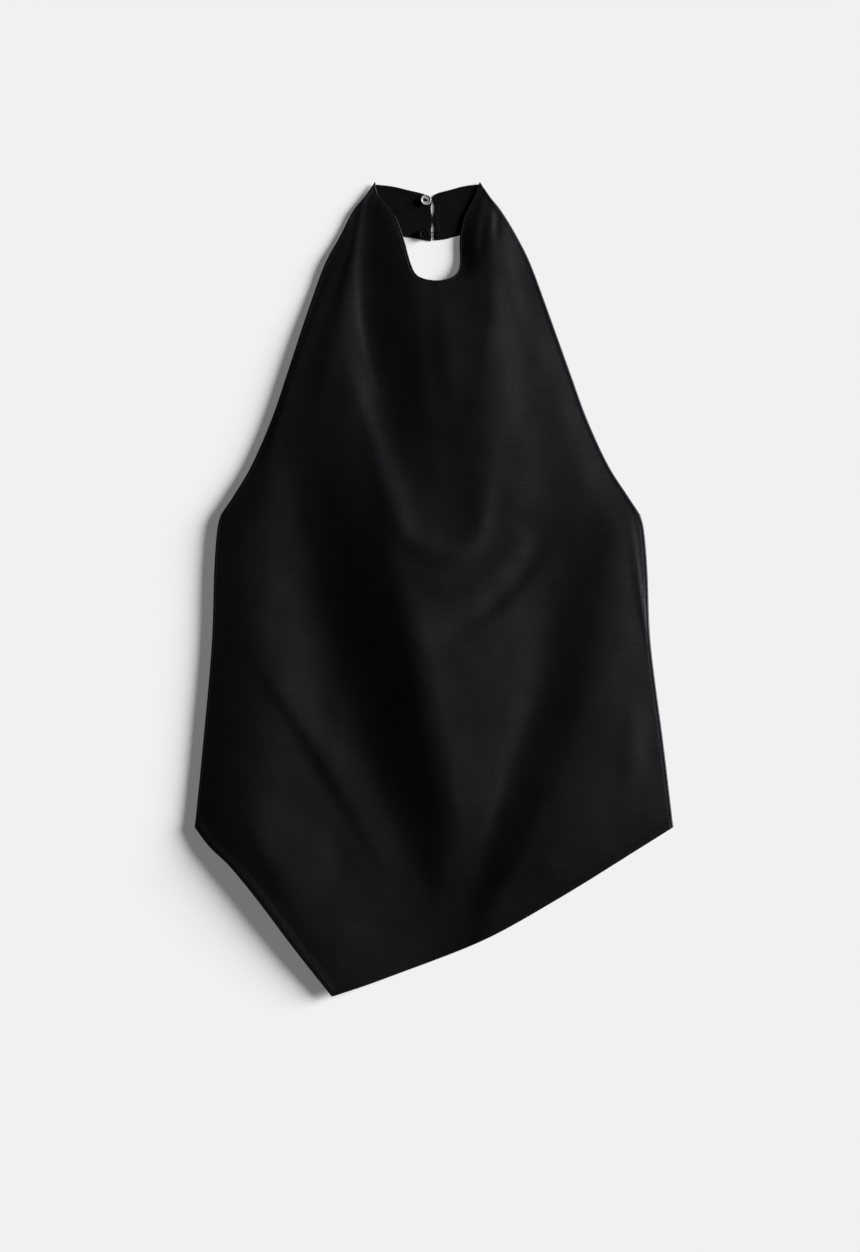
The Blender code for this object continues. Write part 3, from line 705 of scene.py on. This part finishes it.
def front_wall_at(x, y):
    """The front's wall, thicker over the turnings and pulled in along the stitches."""
    build, grooves = np.zeros_like(x), np.zeros_like(x)
    for edge, width, adds, rows in EDGE_BUILDS:
        reach, run = (part / MM for part in nearest_on(EDGES[edge], x, y))
        turning = adds * (1.0 - smoothstep(reach, width - TURNING_STEP, width + TURNING_STEP))
        swell = sum(height * np.sin(2 * math.pi * run / length) for length, height in PUCKERS)
        turning = turning + swell * np.exp(-(reach - rows[-1])**2 / PUCKER_SPREAD)
        build = np.where(np.abs(turning) > np.abs(build), turning, build)
        for row in rows:
            grooves = np.maximum(grooves, np.exp(-(reach - row)**2 / GROOVE_WIDTH**2))
    return np.maximum(FRONT_WALL + (build - GROOVE_DEPTH * grooves) * MM, THINNEST_WALL)


def front_top(x, y):
    """Height of the front's upper face."""
    return front_underside(x, y) + front_wall_at(x, y)


# %% Front
flat_x, flat_y = front_grid[..., 0].ravel(), front_grid[..., 1].ravel()
front_under = front_underside(flat_x, flat_y).reshape(front_grid.shape[:2])
front_wall = front_wall_at(flat_x, flat_y).reshape(front_grid.shape[:2])
front = cloth_piece("front_cloth", front_grid, front_under, front_wall, satin)
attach(front, "root")
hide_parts("front_panel")
print("front:", len(front.data.polygons), "faces, highest", round(front_under.max(), 4))

# %% [markdown]
# ## The low back
# The back ends level with the underarms, as a halter's does, and lies flat under the front.
# Only its edges can ever be seen, so it is a thin sheet with two narrow turnings.

# %% Back
BACK_INSET = 0.0006
BACK_WALL, BACK_TURNING = 0.0008, 0.0002
BACK_TURNING_WIDTH = 0.0065
BACK_RIPPLE = 0.0001
BACK_RIPPLE_LENGTH, BACK_RIPPLE_SWAY = 0.013, 0.031
BACK_REACH = 0.03               # how far in its edges are felt

back_rows = (BACK_HEM_Y + (BACK_TOP_Y - BACK_HEM_Y)
             * shares_with_edges(BACK_TOP_Y - BACK_HEM_Y, 40))
back_left = read_column(SIDE_SECTIONS, back_rows, lambda row: row[1]) + BACK_INSET
back_right = read_column(SIDE_SECTIONS, back_rows, lambda row: row[2]) - BACK_INSET
back_across = shares_with_edges(MEAN_WIDTH, 70)
back_x = back_left[:, None] + (back_right - back_left)[:, None] * back_across[None]
back_y = back_rows[:, None] + np.zeros_like(back_x)
from_edge = np.minimum(back_y - BACK_HEM_Y, BACK_TOP_Y - back_y)
back_wall = BACK_WALL + BACK_TURNING * (1 - smoothstep(from_edge, BACK_TURNING_WIDTH - MM,
                                                       BACK_TURNING_WIDTH))
back_under = BACK_RIPPLE * (1 + np.sin(back_x / BACK_RIPPLE_LENGTH
                                       + 2 * np.sin(back_y / BACK_RIPPLE_SWAY)))
back_under = back_under * smoothstep(from_edge, 0.0, BACK_REACH)
back_under = back_under + left_lift(back_y) * (1 - smoothstep(back_x - back_left[:, None],
                                                              0.0, BACK_REACH))
back = cloth_piece("back_cloth", np.stack([back_x, back_y], axis=2), back_under, back_wall,
                   satin)
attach(back, "root")
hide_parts("back_panel")
print("back:", len(back.data.polygons), "faces")

# %% [markdown]
# ## The collar band
# The neck closes behind with a band in two halves, seen from its inside through the neck.
# Its top has a narrow folded strip, and a little facing is turned in along the slit. The two
# halves meet in the middle of the slit and part above and below.

# %% Collar tables
COLLAR_HALVES = [
    # name, bottom edge, top edge (both from left to right), left and right edges (upwards)
    ("left",
     [(-0.0800, 0.3600), (-0.0560, 0.3520), (-0.0310, 0.3460), (-0.0160, 0.3432),
      (-0.0034, 0.3410)],
     [(-0.0586, 0.3960), (-0.0410, 0.3940), (-0.0260, 0.3905), (-0.0115, 0.3870),
      (-0.0030, 0.3834)],
     [(-0.0800, 0.3600), (-0.0760, 0.3690), (-0.0660, 0.3830), (-0.0586, 0.3960)],
     [(-0.0034, 0.3410), (-0.0030, 0.3470), (-0.0032, 0.3530), (-0.0024, 0.3580),
      (-0.0021, 0.3615), (-0.0024, 0.3650), (-0.0034, 0.3700), (-0.0034, 0.3760),
      (-0.0028, 0.3800), (-0.0030, 0.3834)]),
    ("right",
     [(0.0010, 0.3420), (0.0110, 0.3431), (0.0254, 0.3468), (0.0520, 0.3520),
      (0.0720, 0.3560)],
     [(-0.0018, 0.3836), (0.0031, 0.3872), (0.0165, 0.3909), (0.0300, 0.3944),
      (0.0446, 0.3962)],
     [(0.0010, 0.3420), (-0.0004, 0.3440), (-0.0002, 0.3530), (-0.0014, 0.3580),
      (-0.0018, 0.3615), (-0.0014, 0.3650), (-0.0001, 0.3700), (-0.0002, 0.3760),
      (-0.0016, 0.3800), (-0.0018, 0.3836)],
     [(0.0720, 0.3560), (0.0630, 0.3690), (0.0525, 0.3830), (0.0446, 0.3962)]),
]
COLLAR_WALL = 0.0006
COLLAR_WIDTH, COLLAR_HEIGHT = 0.070, 0.043
COLLAR_CELLS = (56, 34)         # across and up
COLLAR_BUILDS = [
    # which edge, width, wall it adds, stitch groove, in millimetres
    ("top", 4.2, 0.28, 3.6),
    ("bottom", 2.6, 0.18, 2.1),
    ("slit", 6.5, 0.08, 5.8),
]
COLLAR_STEP = 0.5               # half the width of the step down from a turning
COLLAR_GROOVE, COLLAR_GROOVE_SPREAD = 0.14, 0.3
COLLAR_WAVES = [(0.0094, 0.00001), (0.0173, 0.00004)]     # length and height
COLLAR_WAVE_SLANT = 90
SEEN_MIDDLE, SEEN_REACH = -0.0070, (0.022, 0.040)   # past this reach the front hides it
COLLAR_CREASES = [
    # Millimetres. path, height, spread to its right and to its left
    ([(-52, 386), (-40, 381), (-28, 379)], 0.24, 1.6, 2.6),
    ([(-50, 372), (-38, 370), (-24, 373), (-14, 372)], 0.26, 1.8, 2.8),
    ([(-40, 361), (-28, 364), (-17, 361)], 0.20, 1.4, 2.2),
    ([(-31, 349), (-22, 354), (-14, 354)], 0.16, 1.4, 2.0),
    ([(8, 379), (18, 381), (30, 386)], 0.20, 1.6, 2.6),
    ([(6, 366), (16, 371), (28, 372), (40, 378)], 0.24, 1.8, 2.8),
    ([(8, 352), (18, 358), (32, 360)], 0.18, 1.4, 2.2),
]


# %% Collar halves
def make_collar(side, bottom, top, left, right):
    """One half of the band, with its turnings, slow waves and creases."""
    across = shares_with_edges(COLLAR_WIDTH, COLLAR_CELLS[0])
    up = shares_with_edges(COLLAR_HEIGHT, COLLAR_CELLS[1])
    grid = spread_between(curve_at(bottom, across), curve_at(top, across),
                          curve_at(left, up), curve_at(right, up), across, up)
    x, y = grid[..., 0].ravel(), grid[..., 1].ravel()
    edges = {"top": top, "bottom": bottom, "slit": right if side == "left" else left}
    build = np.zeros_like(x)
    for edge, width, adds, groove in COLLAR_BUILDS:
        reach = nearest_on(curve_at(edges[edge], EDGE_SAMPLES), x, y)[0] / MM
        turning = adds * (1 - smoothstep(reach, width - COLLAR_STEP, width + COLLAR_STEP))
        stitched_in = np.exp(-(reach - groove)**2 / COLLAR_GROOVE_SPREAD)
        build = np.maximum(build, turning) - COLLAR_GROOVE * stitched_in
    seen = 1 - smoothstep(np.abs(x - SEEN_MIDDLE), *SEEN_REACH)
    waves = sum(height * (1 + np.sin(x / length * 2 * math.pi + y * COLLAR_WAVE_SLANT))
                for length, height in COLLAR_WAVES)
    for path, height, right_spread, left_spread in COLLAR_CREASES:
        waves = waves + MM * fold_height(x / MM, y / MM, path, height, right_spread,
                                         left_spread)
    under = (waves * seen).reshape(grid.shape[:2])
    wall = (COLLAR_WALL + build * MM).reshape(grid.shape[:2])
    piece = cloth_piece(f"collar_{side}_cloth", grid, under, wall, reverse)
    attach(piece, "root")
    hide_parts(f"collar_{side}")
    return piece


for row in COLLAR_HALVES:
    half_band = make_collar(*row)
    print(half_band.name, len(half_band.data.polygons), "faces")

# %% [markdown]
# ## Buttons and loops
# Two two-hole buttons close the slit, a pale one above and a black one below. Each stands on
# a wound shank, sewn with a bar of thread, and a twisted thread loop from the other half
# goes round it. They are turned on a lathe in real life, so a profile is turned here too.

# %% Buttons
BUTTONS = [
    # node, x, y, material, slot
    ("button_top", -0.0081, 0.3808, pale_button, "pale_button"),
    ("button_bottom", -0.0094, 0.3474, black_button, "black_button"),
]
BUTTON_UNDER, BUTTON_TOP = 0.0029, 0.0049
BUTTON_PROFILE = [
    # radius, height over the underside, in millimetres
    (0.0, 1.50), (2.2, 1.50), (3.5, 1.52), (3.85, 1.62), (4.05, 1.82), (4.25, 1.95),
    (4.5, 2.0), (4.75, 1.96), (4.98, 1.80), (5.14, 1.52), (5.2, 1.15), (5.16, 0.75),
    (5.0, 0.35), (4.7, 0.08), (4.3, 0.0), (0.0, 0.0),
]
BUTTON_SEGMENTS = 72
HOLE_RADIUS, HOLE_APART = 0.0008, 0.0026
DRILL_TOP, DRILL_FOOT, DRILL_SEGMENTS = 0.0060, 0.0020, 20
BUTTON_SLANT = math.radians(-35)


def turned(name, profile, segments, material):
    """Turn a profile of (radius, height) about Z into a closed form."""
    points, rings, faces = [], [], []
    for radius, height in profile:
        if radius < 1e-9:
            rings.append([len(points)] * segments)
            points.append((0.0, 0.0, height))
        else:
            rings.append(list(range(len(points), len(points) + segments)))
            points += [(radius * math.cos(2 * math.pi * step / segments),
                        radius * math.sin(2 * math.pi * step / segments), height)
                       for step in range(segments)]
    for upper, lower in zip(rings, rings[1:]):
        for step in range(segments):
            after = (step + 1) % segments
            corners = [upper[step], lower[step], lower[after], upper[after]]
            faces.append(tuple(dict.fromkeys(corners)))
    return mesh_object(name, points, faces, material)


def settled_mesh(item):
    """The item's mesh with its modifiers applied, on the item itself."""
    finished = bpy.data.meshes.new_from_object(
        item.evaluated_get(bpy.context.evaluated_depsgraph_get()))
    item.modifiers.clear()
    item.data = finished
    return item


def make_button(node, x, y, material, slot):
    """A turned disc with two drilled holes, over its place on the collar."""
    profile = [(radius * MM, BUTTON_UNDER + height * MM) for radius, height in BUTTON_PROFILE]
    button = turned(f"{node}_disc", profile, BUTTON_SEGMENTS, material)
    drills = []
    for way in (-1, 1):
        reach = way * HOLE_APART / 2
        drill = turned("drill", [(0.0, DRILL_TOP), (HOLE_RADIUS, DRILL_TOP),
                                 (HOLE_RADIUS, DRILL_FOOT), (0.0, DRILL_FOOT)],
                       DRILL_SEGMENTS, material)
        drill.location = (reach * math.cos(BUTTON_SLANT), reach * math.sin(BUTTON_SLANT), 0.0)
        cut = button.modifiers.new("Hole", "BOOLEAN")
        cut.operation = "DIFFERENCE"
        cut.solver = "EXACT"
        cut.object = drill
        drills.append(drill)
    bpy.context.view_layer.update()
    settled_mesh(button)
    for drill in drills:
        bpy.data.objects.remove(drill, do_unlink=True)
    button.data.shade_smooth()
    for vertex in button.data.vertices:
        vertex.co = (vertex.co.x + x, vertex.co.y + y, vertex.co.z)
    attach(button, "root")
    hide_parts(node)
    return button


for row in BUTTONS:
    button = make_button(*row)
    print(button.name, len(button.data.polygons), "faces")


# %% Threads
def tube(points, radius, sides):
    """Vertices and faces of a closed tube along a line of points."""
    points = np.array(points, float)
    tangent = directions(points)
    side = np.cross(tangent[0], (0.0, 0.0, 1.0))
    if np.linalg.norm(side) < 0.1:
        side = np.array([1.0, 0.0, 0.0])
    vertices, faces = [], []
    for place, along in zip(points, tangent):
        side = side - along * np.dot(side, along)
        side /= np.linalg.norm(side)
        up = np.cross(along, side)
        for step in range(sides):
            turn = 2 * math.pi * step / sides
            vertices.append(place + radius * (side * math.cos(turn) + up * math.sin(turn)))
    for ring in range(len(points) - 1):
        for step in range(sides):
            after = (step + 1) % sides
            faces.append((ring * sides + step, ring * sides + after,
                          (ring + 1) * sides + after, (ring + 1) * sides + step))
    faces.append(tuple(range(sides - 1, -1, -1)))
    faces.append(tuple(range((len(points) - 1) * sides, len(points) * sides)))
    return vertices, faces


def thread_piece(name, runs, radius, sides):
    """One piece from several runs of thread."""
    points, faces = [], []
    for run in runs:
        vertices, sheets = tube(run, radius, sides)
        faces += [tuple(corner + len(points) for corner in sheet) for sheet in sheets]
        points += [tuple(map(float, vertex)) for vertex in vertices]
    piece = mesh_object(name, points, faces, thread)
    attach(piece, "root")
    return piece


def twisted(path, plies, lay, pitch):
    """Plies that wind round a path, as in a twisted thread."""
    path = np.array(path, float)
    run = np.concatenate([[0.0], np.cumsum(np.linalg.norm(np.diff(path, axis=0), axis=1))])
    tangent = directions(path)
    side = np.cross(tangent, (0.0, 0.0, 1.0))
    side /= np.linalg.norm(side, axis=1, keepdims=True)
    up = np.cross(side, tangent)
    strands = []
    for ply in range(plies):
        turn = (2 * math.pi * (run / pitch + ply / plies))[:, None]
        strands.append(path + lay * (side * np.cos(turn) + up * np.sin(turn)))
    return strands


THREAD_SIDES = 8
SHANK_RADIUS, SHANK_TURNS = 0.0007, 7
SHANK_FOOT, SHANK_HEIGHT = 0.0012, 0.0018
BAR_THREAD = 0.00027
BAR_STRANDS = (-0.0006, -0.0002, 0.0002, 0.0006)    # how far each lies from the middle
BAR_CLOSING, BAR_REACH = 0.3, 0.0013                # they close up towards the holes
BAR_ARCH = [
    # reach from the middle and rise over the button's top, in millimetres
    (-1.62, -0.9), (-1.62, -0.45), (-1.40, 0.0), (-0.7, 0.10), (0.0, 0.12),
    (0.7, 0.10), (1.40, 0.0), (1.62, -0.45), (1.62, -0.9),
]
LOOP_THREAD = 0.00021
LOOP_LAY, LOOP_PITCH = 0.00018, 0.0014
LOOP_LEVEL, LOOP_FOOT = 0.0019, 0.0010
LOOP_ROOM = 0.0018
LOOP_END_X, LOOP_END_RUN = 0.0060, 0.0006
LOOP_BENDS = 8


def sewn_bars(x, y):
    """The strands that hold a button, from one hole over to the other."""
    slant_x, slant_y = math.cos(BUTTON_SLANT), math.sin(BUTTON_SLANT)
    line = curve_at([(reach * MM, BUTTON_TOP + rise * MM) for reach, rise in BAR_ARCH],
                    np.linspace(0, 1, 25))
    bars = []
    for strand in BAR_STRANDS:
        bar = []
        for reach, height in line:
            closing = 1 - BAR_CLOSING * abs(reach) / BAR_REACH
            bar.append((x + reach * slant_x - strand * slant_y * closing,
                        y + reach * slant_y + strand * slant_x * closing, height))
        bars.append(bar)
    return bars


for solid, x, y, _material, _slot in BUTTONS:
    where = solid.split("_")[1]
    turns = np.linspace(0.0, 1.0, 97)
    shank = np.stack([x + SHANK_RADIUS * np.cos(2 * SHANK_TURNS * math.pi * turns),
                      y + SHANK_RADIUS * np.sin(2 * SHANK_TURNS * math.pi * turns),
                      SHANK_FOOT + SHANK_HEIGHT * turns], axis=1)
    thread_piece(f"sewing_{where}", [shank] + sewn_bars(x, y), BAR_THREAD, THREAD_SIDES)
    bend = [math.radians(90 + 180 * step / LOOP_BENDS) for step in range(LOOP_BENDS + 1)]
    path = ([(LOOP_END_X + LOOP_END_RUN, y + LOOP_ROOM, LOOP_FOOT),
             (LOOP_END_X, y + LOOP_ROOM, LOOP_LEVEL)]
            + [(x + LOOP_ROOM * math.cos(turn), y + LOOP_ROOM * math.sin(turn), LOOP_LEVEL)
               for turn in bend]
            + [(LOOP_END_X, y - LOOP_ROOM, LOOP_LEVEL),
               (LOOP_END_X + LOOP_END_RUN, y - LOOP_ROOM, LOOP_FOOT)])
    smooth_path = curve_at(path, np.linspace(0, 1, 140))
    loop = thread_piece(f"thread_loop_{where}", twisted(smooth_path, 2, LOOP_LAY, LOOP_PITCH),
                        LOOP_THREAD, THREAD_SIDES)
    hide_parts(f"loop_{where}")
print("threads sewn")

# %% [markdown]
# ## Stitches
# One row of machine stitches holds each turning. A row is the same stitch again and again, so
# Geometry Nodes lays one small rounded stitch at every pitch along a line on the cloth. The
# instances are realized into a plain mesh, because a handed-on part can't carry live nodes.

# %% Stitch group
STITCH_PITCH, STITCH_LENGTH, STITCH_THREAD = 0.0029, 0.0021, 0.00020


def socket(group, name, kind, default=None, way="INPUT"):
    """One input or output of the stitch group, by its identifier."""
    made = group.interface.new_socket(name, in_out=way, socket_type=kind)
    if default is not None:
        made.default_value = default
    return made.identifier


stitching = bpy.data.node_groups.new("running_stitches", "GeometryNodeTree")
line_in = socket(stitching, "Line", "NodeSocketGeometry")
pitch_in = socket(stitching, "Pitch", "NodeSocketFloat", STITCH_PITCH)
length_in = socket(stitching, "Stitch length", "NodeSocketFloat", STITCH_LENGTH)
thread_in = socket(stitching, "Thread radius", "NodeSocketFloat", STITCH_THREAD)
material_in = socket(stitching, "Material", "NodeSocketMaterial")
socket(stitching, "Stitches", "NodeSocketGeometry", way="OUTPUT")


def node(kind, **inputs):
    """A node of the stitch group."""
    return new_node(stitching, kind, **inputs)


given = node("NodeGroupInput").outputs
curve = node("GeometryNodeMeshToCurve", Mesh=given["Line"]).outputs["Curve"]
even = node("GeometryNodeResampleCurve", Curve=curve)
even.mode = "LENGTH"
set_inputs(even, Length=given["Pitch"])
bead = node("GeometryNodeMeshUVSphere", Segments=8, Rings=6, Radius=1.0).outputs["Mesh"]
half_length = node("ShaderNodeMath")
half_length.operation = "MULTIPLY"
half_length.inputs[1].default_value = 0.5
stitching.links.new(given["Stitch length"], half_length.inputs[0])
size = node("ShaderNodeCombineXYZ", X=half_length.outputs["Value"], Y=given["Thread radius"],
            Z=given["Thread radius"]).outputs["Vector"]
along = node("GeometryNodeInputTangent").outputs["Tangent"]
facing = node("FunctionNodeAlignRotationToVector", Vector=along)
facing.axis = "X"
laid = node("GeometryNodeInstanceOnPoints", Points=even.outputs["Curve"], Instance=bead,
            Rotation=facing.outputs["Rotation"], Scale=size).outputs["Instances"]
real = node("GeometryNodeRealizeInstances", Geometry=laid).outputs["Geometry"]
smooth = node("GeometryNodeSetShadeSmooth", Geometry=real).outputs["Geometry"]
coloured = node("GeometryNodeSetMaterial", Geometry=smooth, Material=given["Material"])
node("NodeGroupOutput", Stitches=coloured.outputs["Geometry"])
print("stitch group:", len(stitching.nodes), "nodes")

# %% Stitch rows
STITCH_ROWS = [
    # name, edge table, inset in millimetres, start and end share
    ("hem_left", HEM_LEFT_LEG, 5.4, 0.020, 0.970),
    ("hem_right", HEM_RIGHT_LEG, 5.4, 0.020, 0.985),
    ("armhole_left", knots_of(ARMHOLE_SECTIONS, 1), 2.5, 0.01, 0.93),
    ("armhole_right", knots_of(ARMHOLE_SECTIONS, 2), 2.5, 0.01, 0.93),
    ("neckline", NECKLINE, 4.9, 0.05, 0.95),
]


def inset_line(table, inset, start, end, inside):
    """A line that runs beside an edge, on the side where the given point is."""
    line = curve_at(table, np.linspace(start, end, 160))
    tangent = directions(line)
    normal = np.stack([-tangent[:, 1], tangent[:, 0]], axis=1)
    if np.sum(normal * (np.array(inside) - line)) < 0:
        normal = -normal
    return line + normal * inset * MM


def stitched(name, line, heights):
    """A row of stitches along a line at the given heights."""
    points = [(x, y, z) for (x, y), z in zip(line.tolist(), heights.tolist())]
    mesh = bpy.data.meshes.new(name)
    mesh.from_pydata(points, [(step, step + 1) for step in range(len(points) - 1)], [])
    row = bpy.data.objects.new(name, mesh)
    bpy.context.scene.collection.objects.link(row)
    stitcher = row.modifiers.new("Stitches", "NODES")
    stitcher.node_group = stitching
    stitcher[pitch_in] = STITCH_PITCH
    stitcher[length_in] = STITCH_LENGTH
    stitcher[thread_in] = STITCH_THREAD
    stitcher[material_in] = thread
    bpy.context.view_layer.update()
    settled_mesh(row)
    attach(row, "root")
    return row


BODY_MIDDLE = (0.0, 0.05)       # a point that every row's inset faces
for name, table, inset, start, end in STITCH_ROWS:
    line = inset_line(table, inset, start, end, BODY_MIDDLE)
    heights = front_top(line[:, 0], line[:, 1])
    stitched(f"stitches_{name}", line, heights)
